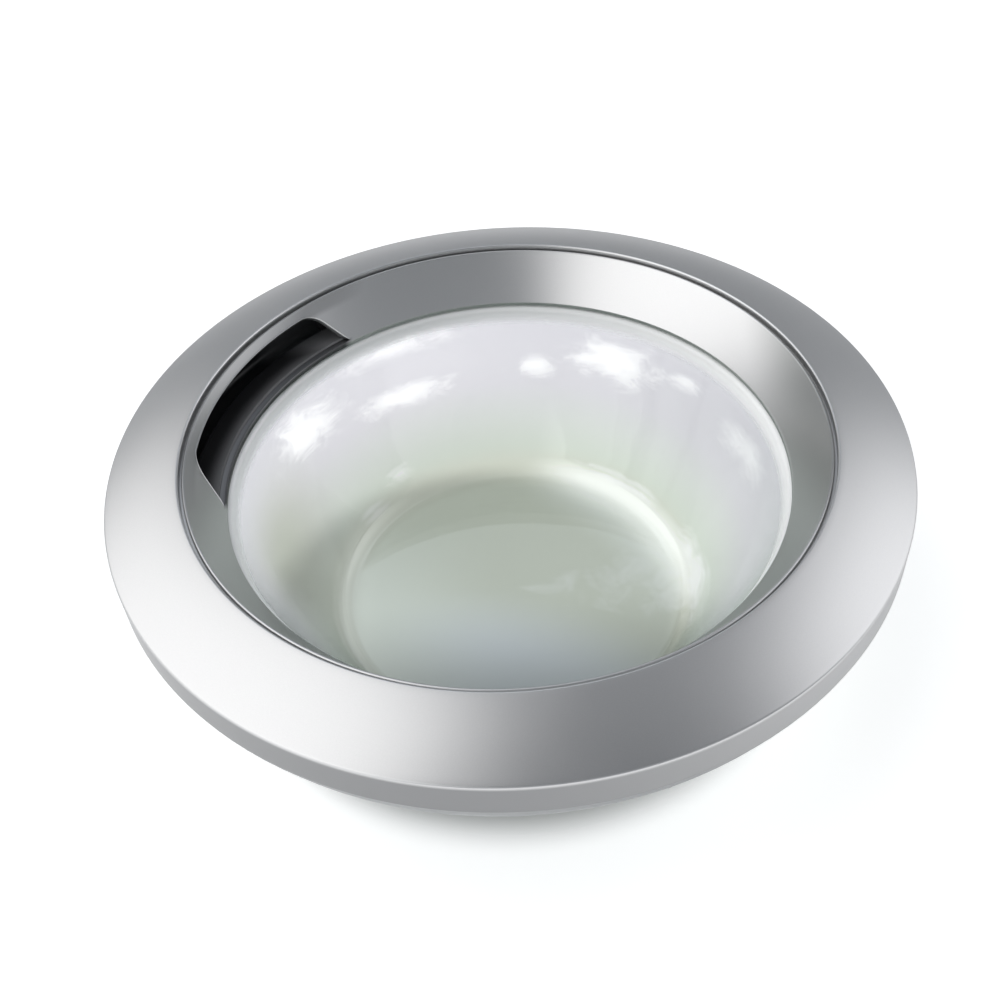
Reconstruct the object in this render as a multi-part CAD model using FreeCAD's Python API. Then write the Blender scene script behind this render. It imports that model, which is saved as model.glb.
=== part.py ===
import FreeCAD, Part
import math
import os

# Door of a front-loading washing machine, lying face up on its glass bowl.
# Millimetres. Z runs up along the axis of the ring, the handle is at -X and the hinge at +X.

V = FreeCAD.Vector
CENTRE = V(0, 0, 0)
UP = V(0, 0, 1)

# Silver rings
VIEW_R = 150.0        # edge of the glass that can be seen
CONE_W = 19.0         # funnel, from that edge out to the seam
FACE_W = 41.0         # sloping face, from the seam out to the outer edge
SEAM_R = VIEW_R + CONE_W
RING_R = SEAM_R + FACE_W
FACE_DROP = 13.0      # crest down to the outer edge
FACE_CROWN = 1.3      # swell of the sloping face
CONE_DROP = 29.0      # crest down to the edge of the glass
SIDE_H = 19.0         # side wall under the outer edge
SIDE_DRAFT = 0.4      # inward lean of the side wall
SKIN = 2.6            # wall of the outer ring
EDGE_ROUND = 1.6      # rounding of the outer edge
CREST_ROUND = 1.0     # rounding on both sides of the seam
SEAM_W = 1.3          # width of the seam
SEAM_DEEP = 5.0       # depth of the seam, down to the shelf of the inner ring
LIP_T = 2.2           # lip of the outer ring that stands on that shelf
CONE_WALL = 2.5       # wall of the inner ring
SHELF_T = 2.5         # shelf of the inner ring under the outer ring
FOOT_T = 1.8          # foot of the inner ring on the glass seal
FOOT_ROUND = 0.9      # rounding of its visible edge

# Finger pocket
HANDLE_ANGLE = 180.0  # direction of the pocket, across from the hinge
MOUTH_LOW = 74.0      # half width of the mouth at the glass
MOUTH_TOP = 67.0      # half width of the mouth under the lip
MOUTH_DROP = 8.2      # crest down to the mouth
MOUTH_ROUND = 10.0    # corners of the mouth
MOUTH_EDGE = 1.4      # eased edge round the mouth
LEDGE = 1.2           # inner ring left below the mouth
CUP_WALL = 1.8        # wall of the handle cup
CUP_ROUND = 4.0       # rounding inside the cup
CUP_SIDE = 2.0        # how far the cup runs on behind each end of the mouth
EAR_T = 2.2           # screw ears of the cup
EAR_DROP = 12.0       # shelf down to the ears

# Glass
BOWL_H = 95.0         # foot of the bowl up to the underside of its flange
FLANGE_T = 5.0
FLANGE_OVER = 13.5    # flange outside the visible edge
RIM_IN = 1.5          # bowl wall inside the visible edge
RIM_ROUND = 3.5       # rounded upper edge of the bowl
NECK_ROUND = 3.0      # rounding under the flange
GLASS_T = 5.0         # wall of the bowl
FLOOR_T = 7.0         # floor of the bowl
FLOOR_R = 100.0       # corner of wall and floor inside
FLOOR_ROUND = 12.0
WALL_SWELL = 6.0      # outward curve of the bowl wall
SEAL_T = 1.2          # rubber above and below the flange
SEAL_SKIN = 1.5       # rubber round the edge of the flange
SEAL_IN = 2.5         # rubber set back from the visible edge

# Back ring
BACK_H = 14.0         # side wall down to the back face
BACK_INSET = 5.0      # back ring inside the outer edge
BACK_WALL = 2.5
BACK_ROUND = 5.0      # rounding of the back face's outer edge
RIM_T = 2.5           # rim that carries the side wall of the outer ring
RIM_INSET = 0.8       # rim set back from the side wall
BORE_GAP = 0.5        # clear of the rounding under the glass flange
SOCKET_DROP = 1.0     # wall round the seal ends below the top of the glass flange
RIB_T = 2.0
RIB_H = 6.0

# Screws and bosses
SCREW_R = 2.0
HEAD_R = 3.8
HEAD_H = 2.6
HEAD_BEVEL = 0.9
HEAD_GAP = 0.4        # head in its counterbore
TIP_BEVEL = 0.6
SINK = 6.0            # depth of the counterbores in the back face
TOWER_WALL = 1.4      # wall round a counterbore
BOSS_WALL = 2.0       # wall round a thread
BITE = 13.0           # screw length in a boss
BITE_SPARE = 2.0      # hole beyond the tip of the screw
FRAME_INSET = 7.5     # circle of the frame screws inside the back ring's edge
FRAME_COUNT = 8
CLAMP_ANGLES = (30.0, 75.0, 120.0)
CLAMP_RISE = 8.5      # towers of the clamp screws above the floor of the back ring
GUSSET_T = 1.8
GUSSET_H = 14.0
GUSSET_FOOT = 3.0     # gussets of the outer ring above its skirt

# Hinge
PIVOT_INSET = 10.0    # pivot inside the back ring's edge
KNUCKLE_R = 5.0
KNUCKLE_DROP = 0.6    # knuckles clear of the back face
KNUCKLE_L = 32.0      # middle knuckle, on the door leaf
EYE_L = 12.0          # each outer knuckle, on the cabinet leaf
LEAF_T = 4.0
LEAF_ROUND = 5.0      # corners of both leaves
DOOR_LEAF_HALF = 37.0
DOOR_LEAF_W = 14.0
CABINET_LEAF_HALF = 40.0
CABINET_LEAF_W = 29.0
PIN_R = 2.5
PIN_HEAD_R = 4.4
PIN_HEAD_H = 2.0
PIN_TAIL = 3.0        # pin beyond the upper knuckle
CLIP_T = 0.9
CLIP_R = 4.2
CLIP_DEEP = 0.6       # groove of the clip
BUSH_WALL = 1.0
BUSH_RIM_T = 1.0
HINGE_SCREW_R = 2.5
HINGE_HEAD_R = 4.6
HINGE_SCREW_TIP = 2.0  # screw beyond the nut plate
HINGE_SCREW_Y = (11.0, 29.0)
NUT_PLATE_T = 2.5
BOLT_HOLE_R = 2.75
BOLT_SPACING_X = 14.0
BOLT_SPACING_Y = 54.0
BOLT_EDGE = 6.5       # bolt holes from the free edge of the leaf

# Latch
HOOK_INSET = 16.0     # hook pin inside the back ring's edge
HOOK_PIN_DROP = 3.5   # hook pin below the back face
HOOK_HALF = 4.5       # half the thickness of the hook
HOOK_W = 8.0          # width of its shank
HOOK_L = 37.0         # pin down to the tip
NOSE_OUT = 9.0        # nose beyond the shank
NOSE_RISE = 8.0       # slope of the nose's leading face
NOSE_T = 4.0          # thickness of the nose at its end
NOSE_ROOT = 6.0       # and where it leaves the shank
HOOK_ROUND = 1.2
HOOK_PIN_R = 2.0
HOOK_PIN_HEAD = 1.2   # peened heads of the hook pin
HOOK_HEAD_R = 3.0
HUB_WALL = 1.4
HEEL_RISE = 1.2       # heel of the hook above the underside of the bracket
HOOK_SWING = 15.0     # swing that the slots leave room for
SHEET = 1.5           # bracket sheet
EAR_SPAN = 16.6       # between the ears of the bracket
EAR_W = 12.0
EAR_ROUND = 4.8       # lower corners of the ears
EAR_LOW = 4.5         # ears below the hook pin
BRACKET_HALF = 25.0
BRACKET_W = 20.0
BRACKET_SCREW_Y = 20.0
BRACKET_SCREW_TIP = 1.0
POD_H = 12.0          # housing of the latch behind the back face
POD_W = 29.0
POD_HALF = 15.5
POD_ROUND = 4.0
WIRE_R = 0.5          # wire of the hook spring
COIL_TURNS = 2
COIL_PITCH = 1.05
COIL_STEPS = 16
SPRING_LEG = 4.5      # leg of the spring along the shank

# Clearances
RUN_GAP = 0.05        # pin in a bush, screw in its thread
PRESS_GAP = 0.02      # pin or bush in its seat
FREE_GAP = 0.3        # pieces that lie beside one another

# Heights, from the foot of the glass up
flange_top = BOWL_H + FLANGE_T
foot_z = flange_top + SEAL_T
edge_z = foot_z + FOOT_T
crest_z = edge_z + CONE_DROP
rim_z = crest_z - FACE_DROP
skirt_z = rim_z - SIDE_H
ledge_z = crest_z - SEAM_DEEP
shelf_z = ledge_z - SHELF_T
seat_z = BOWL_H - SEAL_T
back_z = skirt_z - BACK_H
floor_z = back_z + BACK_WALL
sink_z = back_z + SINK

# Radii
lip_r = SEAM_R + SEAM_W / 2
cone_r = SEAM_R - SEAM_W / 2
cone_slope = (cone_r - VIEW_R) / CONE_DROP
cone_across = CONE_WALL * math.hypot(1, cone_slope)
face_slope = FACE_DROP / (RING_R - lip_r)
face_across = SKIN * math.hypot(1, face_slope)
flange_r = VIEW_R + FLANGE_OVER
seal_r = flange_r + RUN_GAP + SEAL_SKIN
socket_r = seal_r + FREE_GAP
socket_out_r = socket_r + BACK_WALL
back_r = RING_R - BACK_INSET
tower_r = HEAD_R + HEAD_GAP + TOWER_WALL
boss_r = SCREW_R + BOSS_WALL
frame_r = back_r - FRAME_INSET
clamp_r = socket_out_r + FREE_GAP + tower_r
clamp_z = floor_z + CLAMP_RISE
cup_r = frame_r - tower_r - FREE_GAP
pivot_x = back_r - PIVOT_INSET
pivot_z = back_z - KNUCKLE_DROP - KNUCKLE_R
hook_x = HOOK_INSET - back_r
hook_z = back_z - HOOK_PIN_DROP
pod_z = back_z - POD_H


def cone_out(z):
    """Radius of the hidden side of the inner ring's funnel at a height."""
    return VIEW_R + cone_across + (z - edge_z) * cone_slope


def face_under(r):
    """Height of the underside of the outer ring's sloping face at a radius."""
    return crest_z - (r - lip_r) * face_slope - face_across


def outline(corners):
    """Closed wire in the XZ plane through (x, z) corners; a third number rounds that corner."""
    points = [V(corner[0], 0, corner[1]) for corner in corners]
    count = len(points)
    stations = []
    for i, corner in enumerate(corners):
        here = points[i]
        if len(corner) == 2:
            stations.append((here, None, here))
            continue
        back = (points[i - 1] - here).normalize()
        ahead = (points[(i + 1) % count] - here).normalize()
        half = back.getAngle(ahead) / 2
        reach = corner[2] / math.tan(half)
        rise = corner[2] / math.sin(half) - corner[2]
        middle = here + (back + ahead).normalize() * rise
        stations.append((here + back * reach, middle, here + ahead * reach))
    edges = []
    for i, (start, middle, stop) in enumerate(stations):
        if middle is not None:
            edges.append(Part.Arc(start, middle, stop).toShape())
        following = stations[(i + 1) % count][0]
        if stop.distanceToPoint(following) > 1e-6:
            edges.append(Part.makeLine(stop, following))
    return Part.Wire(edges)


def swell(start, stop, height, share=0.8):
    """Corner that bows the line between two points out to its left, rounded over a share of it."""
    across = (stop[0] - start[0], stop[1] - start[1])
    length = math.hypot(*across)
    x = (start[0] + stop[0]) / 2 - across[1] / length * height
    z = (start[1] + stop[1]) / 2 + across[0] / length * height
    half_turn = math.atan2(abs(height), length / 2)
    return (x, z, share * length / 2 / math.tan(half_turn))


def turned(corners, angle=360.0, start=0.0):
    """Solid of revolution about Z from a section of (r, z) corners."""
    solid = Part.Face(outline(corners)).revolve(CENTRE, UP, angle)
    solid.rotate(CENTRE, UP, start)
    return solid


def cut_across(corners, y0, y1):
    """Plate with an outline of (x, z) corners between two planes across Y."""
    face = Part.Face(outline(corners))
    face.translate(V(0, y0, 0))
    return face.extrude(V(0, y1 - y0, 0))


def slab(x0, x1, y0, y1, z0, z1):
    return Part.makeBox(x1 - x0, y1 - y0, z1 - z0, V(x0, y0, z0))


def plate(x0, x1, half, z0, z1, corner):
    """Flat plate, symmetric across Y, with rounded corners."""
    body = slab(x0, x1, -half, half, z0, z1)
    upright = [e for e in body.Edges if abs(e.tangentAt(e.FirstParameter).z) > 0.99]
    return body.makeFillet(corner, upright)


def rod(radius, z0, z1, x, y):
    return Part.makeCylinder(radius, z1 - z0, V(x, y, z0))


def rod_y(radius, y0, y1, x, z):
    return Part.makeCylinder(radius, y1 - y0, V(x, y0, z), V(0, 1, 0))


def polar(radius, degrees):
    angle = math.radians(degrees)
    return radius * math.cos(angle), radius * math.sin(angle)


def fused(first, others):
    return first.fuse(list(others)).removeSplitter()


frame_places = [polar(frame_r, 360.0 / FRAME_COUNT * (i + 0.5)) for i in range(FRAME_COUNT)]
clamp_places = [polar(clamp_r, side * angle) for angle in CLAMP_ANGLES for side in (1, -1)]

# The cup reaches a little behind both ends of the mouth, and its ears lie beyond its end walls
cup_half = math.degrees(math.asin(MOUTH_LOW / VIEW_R) + CUP_SIDE / VIEW_R)
ear_half = cup_half + math.degrees((CUP_WALL + FREE_GAP + 2 * tower_r) / clamp_r)
ear_places = [polar(clamp_r, HANDLE_ANGLE - side * ear_half) for side in (1, -1)]
ear_z = shelf_z - EAR_DROP


def make_outer_ring():
    """Moulded ring: sloping face, side wall, lip at the seam, screw bosses with gussets."""
    outer, inner = RING_R - SKIN, lip_r + LIP_T
    under_out = (outer, face_under(outer))
    under_in = (inner, face_under(inner))
    ring = turned([
        (lip_r, ledge_z),
        (lip_r, crest_z, CREST_ROUND),
        swell((lip_r, crest_z), (RING_R, rim_z), FACE_CROWN),
        (RING_R, rim_z, EDGE_ROUND),
        (RING_R - SIDE_DRAFT, skirt_z),
        (outer - SIDE_DRAFT, skirt_z),
        under_out,
        swell(under_in, under_out, FACE_CROWN),
        under_in,
        (inner, ledge_z),
    ])
    additions, holes = [], []
    gusset = cut_across([
        (frame_r, skirt_z + GUSSET_FOOT),
        (outer - SIDE_DRAFT + SKIN / 2, skirt_z + GUSSET_FOOT + SKIN),
        (outer + SKIN / 2, under_out[1]),
        (frame_r, face_under(frame_r)),
    ], -GUSSET_T / 2, GUSSET_T / 2)
    for i, (x, y) in enumerate(frame_places):
        additions.append(rod(boss_r, skirt_z, face_under(frame_r) + SKIN / 2, x, y))
        rib = gusset.copy()
        rib.rotate(CENTRE, UP, 360.0 / FRAME_COUNT * (i + 0.5))
        additions.append(rib)
        holes.append(rod(SCREW_R + RUN_GAP, skirt_z, skirt_z + BITE + BITE_SPARE, x, y))
    return fused(ring, additions).cut(holes)


def mouth():
    """Trapezoid with rounded upper corners that opens the inner ring into the cup."""
    low, top = edge_z + LEDGE, crest_z - MOUTH_DROP
    section = outline([
        (-MOUTH_LOW, low),
        (-MOUTH_TOP, top, MOUTH_ROUND),
        (MOUTH_TOP, top, MOUTH_ROUND),
        (MOUTH_LOW, low),
    ])
    face = Part.Face(section)
    face.rotate(CENTRE, UP, 90)
    face.translate(V(-SEAM_R, 0, 0))
    return face.extrude(V(SEAM_R / 2, 0, 0))


def borders_mouth(edge):
    """True for the edges where the mouth breaks through the visible face of the funnel."""
    middle = edge.valueAt((edge.FirstParameter + edge.LastParameter) / 2)
    face_r = VIEW_R + (middle.z - edge_z) * cone_slope
    on_face = abs(math.hypot(middle.x, middle.y) - face_r) < RUN_GAP
    low, top = edge_z + LEDGE, crest_z - MOUTH_DROP
    return on_face and middle.x < 0 and low + RUN_GAP < middle.z < top + RUN_GAP


def make_inner_ring():
    """Funnel ring with a shelf under the outer ring, a foot on the seal and long bosses behind."""
    ring = turned([
        (cone_r, ledge_z),
        (cone_r, crest_z, CREST_ROUND),
        (VIEW_R, edge_z, FOOT_ROUND),
        (VIEW_R, foot_z),
        (flange_r, foot_z),
        (flange_r, edge_z),
        (cone_out(edge_z), edge_z),
        (cone_out(shelf_z), shelf_z),
        (clamp_r + BOSS_WALL, shelf_z),
        (clamp_r + BOSS_WALL, ledge_z),
    ])
    ring = ring.cut(mouth())
    ring = ring.makeFillet(MOUTH_EDGE, [e for e in ring.Edges if borders_mouth(e)])
    wall = cone_across / 3
    low = shelf_z - GUSSET_H
    gusset = cut_across([
        (cone_out(low) - wall, low),
        (clamp_r, low),
        (clamp_r, ledge_z - wall),
        (cone_out(shelf_z) - wall, shelf_z),
    ], -GUSSET_T / 2, GUSSET_T / 2)
    additions, holes = [], []
    for x, y in clamp_places:
        additions.append(rod(boss_r, clamp_z, shelf_z + SHELF_T / 2, x, y))
        rib = gusset.copy()
        rib.rotate(CENTRE, UP, math.degrees(math.atan2(y, x)))
        additions.append(rib)
        holes.append(rod(SCREW_R + RUN_GAP, clamp_z, clamp_z + BITE + BITE_SPARE, x, y))
    for x, y in ear_places:
        additions.append(rod(boss_r, ear_z, shelf_z + SHELF_T / 2, x, y))
        holes.append(rod(SCREW_R + RUN_GAP, ear_z, ear_z + EAR_DROP - BITE_SPARE, x, y))
    return fused(ring, additions).cut(holes)


def make_handle_cup():
    """Scoop behind the mouth: a floor over the glass flange, a deep trough and a roof under the shelf."""
    low = edge_z + FREE_GAP
    roof = shelf_z - FREE_GAP
    roof_out = min(roof, face_under(cup_r) - FREE_GAP)
    bottom = floor_z + SHEET + BRACKET_SCREW_TIP + FREE_GAP
    dip = socket_out_r + FREE_GAP
    trough = dip + 2 * CUP_WALL
    scoop = min(CUP_ROUND, (cup_r - trough) / 2 - CUP_WALL - FREE_GAP)
    front = cone_out(low) + FREE_GAP
    under_lip = cone_out(roof) + FREE_GAP
    body = turned([
        (front, low),
        (dip, low),
        (trough, bottom, scoop),
        (cup_r, bottom, scoop + CUP_WALL),
        (cup_r, roof_out, CUP_ROUND),
        (under_lip, roof),
    ], 2 * cup_half, HANDLE_ANGLE - cup_half)
    wall = math.degrees(CUP_WALL / clamp_r)
    hollow = turned([
        (front - CONE_WALL, low + CUP_WALL),
        (dip + CUP_WALL, low + CUP_WALL, CUP_WALL),
        (trough + CUP_WALL, bottom + CUP_WALL, scoop),
        (cup_r - CUP_WALL, bottom + CUP_WALL, scoop),
        (cup_r - CUP_WALL, roof_out - CUP_WALL, CUP_ROUND),
        (under_lip - CONE_WALL, roof - CUP_WALL),
    ], 2 * (cup_half - wall), HANDLE_ANGLE - cup_half + wall)
    cup = body.cut(hollow)
    ears, holes = [], []
    reach = ear_half - cup_half + wall / 2
    for side, (x, y) in zip((1, -1), ear_places):
        start = HANDLE_ANGLE - ear_half if side > 0 else HANDLE_ANGLE + cup_half - wall / 2
        ears.append(turned([
            (clamp_r - BOSS_WALL, ear_z - EAR_T),
            (clamp_r + BOSS_WALL, ear_z - EAR_T),
            (clamp_r + BOSS_WALL, ear_z),
            (clamp_r - BOSS_WALL, ear_z),
        ], reach, start))
        ears.append(rod(boss_r, ear_z - EAR_T, ear_z, x, y))
        holes.append(rod(SCREW_R + FREE_GAP, ear_z - EAR_T, ear_z, x, y))
    return fused(cup, ears).cut(holes)


def bowl_wall(thickness):
    """Rim, middle and floor corner of the bowl wall, moved out by a thickness."""
    rim, low = (VIEW_R - RIM_IN, flange_top), (FLOOR_R, FLOOR_T)
    middle = swell(low, rim, -WALL_SWELL)
    upper = (rim[0] - middle[0], rim[1] - middle[1])
    lower = (middle[0] - low[0], middle[1] - low[1])
    upper_out = thickness * math.hypot(*upper) / upper[1]
    lower_out = thickness * math.hypot(*lower) / lower[1]
    slope_up, slope_low = upper[0] / upper[1], lower[0] / lower[1]
    z = middle[1] - (upper_out - lower_out) / (slope_up - slope_low)
    return slope_up, slope_low, upper_out, lower_out, middle, z


slope_up, slope_low, upper_out, lower_out, wall_middle, outer_middle_z = bowl_wall(GLASS_T)
neck_r = VIEW_R - RIM_IN + upper_out - FLANGE_T * slope_up
bore_r = neck_r + NECK_ROUND + BORE_GAP


def make_glass_bowl():
    """Pressed glass: flat foot, swelling wall of even thickness and a clamping flange."""
    middle_r = wall_middle[0] + upper_out - (wall_middle[1] - outer_middle_z) * slope_up
    foot_r = FLOOR_R + lower_out - FLOOR_T * slope_low
    return turned([
        (0, 0),
        (foot_r, 0, FLOOR_ROUND + GLASS_T),
        (middle_r, outer_middle_z, wall_middle[2]),
        (neck_r, BOWL_H, NECK_ROUND),
        (flange_r, BOWL_H),
        (flange_r, flange_top),
        (VIEW_R - RIM_IN, flange_top, RIM_ROUND),
        wall_middle,
        (FLOOR_R, FLOOR_T, FLOOR_ROUND),
        (0, FLOOR_T),
    ])


def make_glass_seal():
    """Rubber channel that wraps the edge of the glass flange."""
    groove = flange_r + RUN_GAP
    return turned([
        (bore_r, seat_z),
        (seal_r, seat_z),
        (seal_r, foot_z),
        (VIEW_R + SEAL_IN, foot_z),
        (VIEW_R + SEAL_IN, flange_top),
        (groove, flange_top),
        (groove, BOWL_H),
        (bore_r, BOWL_H),
    ])


def make_back_ring():
    """Moulded trough: seat for the seal, screw towers, ribs, latch housing and hinge holes."""
    inner_wall = back_r - BACK_WALL
    ring = turned([
        (bore_r, seat_z - BACK_WALL),
        (bore_r, seat_z),
        (socket_r, seat_z),
        (socket_r, flange_top - SOCKET_DROP),
        (socket_out_r, flange_top - SOCKET_DROP),
        (socket_out_r, floor_z),
        (inner_wall, floor_z),
        (inner_wall, skirt_z),
        (RING_R - SIDE_DRAFT - RIM_INSET, skirt_z),
        (RING_R - SIDE_DRAFT - RIM_INSET, skirt_z - RIM_T),
        (back_r, skirt_z - RIM_T),
        (back_r, back_z, BACK_ROUND),
        (socket_r, back_z),
        (socket_r, seat_z - BACK_WALL),
    ])
    additions, holes = [], []
    for places, top in ((frame_places, skirt_z), (clamp_places, clamp_z)):
        for x, y in places:
            additions.append(rod(tower_r, floor_z - BACK_WALL / 2, top, x, y))
            holes.append(rod(SCREW_R + FREE_GAP, back_z, top, x, y))
            holes.append(rod(HEAD_R + HEAD_GAP, back_z, sink_z, x, y))
    between = [(360.0 / FRAME_COUNT * (i + 0.5) + angle) / 2
               for i, angle in enumerate(CLAMP_ANGLES, start=1)]
    rib = slab(socket_out_r - BACK_WALL / 2, inner_wall + BACK_WALL / 2, -RIB_T / 2, RIB_T / 2,
               floor_z - BACK_WALL / 2, floor_z + RIB_H)
    for angle in between:
        for side in (1, -1):
            piece = rib.copy()
            piece.rotate(CENTRE, UP, side * angle)
            additions.append(piece)

    # The latch housing stands out behind, open to the inside and slotted for the hook
    additions.append(plate(hook_x - POD_W / 2, hook_x + POD_W / 2, POD_HALF,
                           pod_z, floor_z - BACK_WALL / 2, POD_ROUND))
    holes.append(plate(hook_x - POD_W / 2 + BACK_WALL, hook_x + POD_W / 2 - BACK_WALL,
                       POD_HALF - BACK_WALL, pod_z + BACK_WALL, floor_z, POD_ROUND - BACK_WALL))
    sway = (hook_z - pod_z) * math.tan(math.radians(HOOK_SWING))
    holes.append(slab(hook_x - HOOK_W / 2 - 2 * FREE_GAP, hook_x + HOOK_W / 2 + 2 * FREE_GAP + sway,
                      -HOOK_HALF - 2 * FREE_GAP, HOOK_HALF + 2 * FREE_GAP, pod_z, pod_z + BACK_WALL))
    for side in (1, -1):
        holes.append(rod(SCREW_R + FREE_GAP, back_z, floor_z, hook_x, side * BRACKET_SCREW_Y))
        for y in HINGE_SCREW_Y:
            holes.append(rod(HINGE_SCREW_R + FREE_GAP, back_z, floor_z, hinge_screw_x, side * y))
    return fused(ring, additions).cut(holes)


def pan_screw(seat, length, x, y):
    """Screw driven upwards from a seat, with a rounded pan head below it."""
    return turned([
        (0, seat - HEAD_H),
        (HEAD_R - HEAD_BEVEL, seat - HEAD_H),
        (HEAD_R, seat - HEAD_H + HEAD_BEVEL),
        (HEAD_R, seat),
        (SCREW_R, seat),
        (SCREW_R, seat + length - TIP_BEVEL),
        (SCREW_R - TIP_BEVEL, seat + length),
        (0, seat + length),
    ]).translate(V(x, y, 0))


def make_latch_hook():
    """Cast hook: hub on the pin, heel against the bracket, shank and a nose with a sloped leading face."""
    half = HOOK_W / 2
    heel = floor_z + HEEL_RISE - hook_z
    shape = [
        (half, heel, HOOK_ROUND),
        (half, -HOOK_L + NOSE_RISE, HOOK_W),
        (0, -HOOK_L, HOOK_ROUND),
        (-half, -HOOK_L, HOOK_ROUND),
        (-half - NOSE_OUT, -HOOK_L + NOSE_RISE, HOOK_ROUND),
        (-half - NOSE_OUT, -HOOK_L + NOSE_RISE + NOSE_T, HOOK_ROUND),
        (-half, -HOOK_L + NOSE_RISE + NOSE_ROOT, HOOK_ROUND),
        (-half, heel, HOOK_ROUND),
    ]
    placed = [(hook_x + c[0], hook_z + c[1]) + tuple(c[2:]) for c in shape]
    body = cut_across(placed, -HOOK_HALF, HOOK_HALF)
    hub_r = HOOK_PIN_R + HUB_WALL
    span = EAR_SPAN / 2 - FREE_GAP
    body = fused(body, [rod_y(hub_r, -span, span, hook_x, hook_z)])
    return body.cut(rod_y(HOOK_PIN_R + RUN_GAP, -span, span, hook_x, hook_z))


def make_hook_pin():
    reach = EAR_SPAN / 2 + SHEET
    pin = rod_y(HOOK_PIN_R, -reach - HOOK_PIN_HEAD, reach + HOOK_PIN_HEAD, hook_x, hook_z)
    heads = [rod_y(HOOK_HEAD_R, y, y + HOOK_PIN_HEAD, hook_x, hook_z)
             for y in (reach, -reach - HOOK_PIN_HEAD)]
    return fused(pin, heads)


def make_hook_bracket():
    """Pressed bracket: a plate on the floor of the back ring with two ears bent down into the housing."""
    top = floor_z + SHEET
    swing = (floor_z + HEEL_RISE - hook_z) * math.tan(math.radians(HOOK_SWING))
    base = plate(hook_x - BRACKET_W / 2, hook_x + BRACKET_W / 2, BRACKET_HALF, floor_z, top, SHEET)
    base = base.cut(slab(hook_x - HOOK_W / 2 - swing - 3 * FREE_GAP, hook_x + HOOK_W / 2 + FREE_GAP,
                         -EAR_SPAN / 2, EAR_SPAN / 2, floor_z, top))
    low = hook_z - EAR_LOW
    ear = [
        (hook_x - EAR_W / 2, top),
        (hook_x - EAR_W / 2, low, EAR_ROUND),
        (hook_x + EAR_W / 2, low, EAR_ROUND),
        (hook_x + EAR_W / 2, top),
    ]
    inner, outer = EAR_SPAN / 2, EAR_SPAN / 2 + SHEET
    body = fused(base, [cut_across(ear, inner, outer), cut_across(ear, -outer, -inner)])
    holes = [rod_y(HOOK_PIN_R + PRESS_GAP, -outer, outer, hook_x, hook_z)]
    holes += [rod(SCREW_R + RUN_GAP, floor_z, top, hook_x, side * BRACKET_SCREW_Y) for side in (1, -1)]
    return body.cut(holes)


def make_hook_spring():
    """Torsion spring on the hub, one leg under the bracket and one behind the shank."""
    coil_r = HOOK_W / 2 + WIRE_R + RUN_GAP
    start = HOOK_HALF + FREE_GAP + WIRE_R
    route = [V(coil_r, 0, -SPRING_LEG), V(coil_r, start, -SPRING_LEG)]
    for i in range(COIL_TURNS * COIL_STEPS + 1):
        turn = i / COIL_STEPS
        x, z = polar(coil_r, 360.0 * turn)
        route.append(V(x, start + turn * COIL_PITCH, z))
    route.append(V(coil_r, start + COIL_TURNS * COIL_PITCH, floor_z - hook_z - WIRE_R))
    wire = Part.makePolygon(route)
    wire.translate(V(hook_x, 0, hook_z))
    ring = [V(hook_x + coil_r + WIRE_R * math.cos(i * math.pi / 4), 0,
              hook_z - SPRING_LEG + WIRE_R * math.sin(i * math.pi / 4)) for i in range(9)]
    return wire.makePipeShell([Part.makePolygon(ring)], True, False, 1)


# Hinge sizes shared by its pieces
plate_x = pivot_x - KNUCKLE_R - 2 * FREE_GAP
door_leaf_x = plate_x - DOOR_LEAF_W
hinge_screw_x = plate_x - DOOR_LEAF_W / 2
eye_in = KNUCKLE_L / 2 + FREE_GAP + BUSH_RIM_T
eye_out = eye_in + EYE_L
bush_in = PIN_R + RUN_GAP
bush_out = bush_in + BUSH_WALL
nut_z = floor_z + NUT_PLATE_T
hinge_head_h = HINGE_HEAD_R - HINGE_SCREW_R


def make_hinge_door_leaf():
    """Cast leaf under the back face with the middle knuckle and countersunk holes."""
    low = back_z - LEAF_T
    leaf = plate(door_leaf_x, plate_x, DOOR_LEAF_HALF, low, back_z, LEAF_ROUND)
    half = KNUCKLE_L / 2
    bridge = slab(plate_x - LEAF_T, pivot_x, -half, half, low, pivot_z + KNUCKLE_R)
    leaf = fused(leaf, [bridge, rod_y(KNUCKLE_R, -half, half, pivot_x, pivot_z)])
    holes = [rod_y(PIN_R + PRESS_GAP, -half, half, pivot_x, pivot_z)]
    for y in HINGE_SCREW_Y:
        for side in (1, -1):
            holes.append(rod(HINGE_SCREW_R + RUN_GAP, low, back_z, hinge_screw_x, side * y))
            holes.append(Part.makeCone(HINGE_HEAD_R + RUN_GAP, HINGE_SCREW_R + RUN_GAP, hinge_head_h,
                                       V(hinge_screw_x, side * y, low)))
    return leaf.cut(holes)


def make_hinge_cabinet_leaf():
    """Leaf that is bolted to the cabinet, with the two outer knuckles."""
    low = pivot_z - KNUCKLE_R
    top = low + LEAF_T
    leaf = plate(plate_x - CABINET_LEAF_W, plate_x, CABINET_LEAF_HALF, low, top, LEAF_ROUND)
    additions, holes = [], []
    for side in (1, -1):
        y0, y1 = sorted((side * eye_in, side * eye_out))
        additions.append(slab(plate_x - LEAF_T, pivot_x, y0, y1, low, top))
        additions.append(rod_y(KNUCKLE_R, y0, y1, pivot_x, pivot_z))
        holes.append(rod_y(bush_out + PRESS_GAP, y0, y1, pivot_x, pivot_z))
        for row in (0, 1):
            x = plate_x - CABINET_LEAF_W + BOLT_EDGE + row * BOLT_SPACING_X
            holes.append(rod(BOLT_HOLE_R, low, top, x, side * BOLT_SPACING_Y / 2))
    return fused(leaf, additions).cut(holes)


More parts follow.
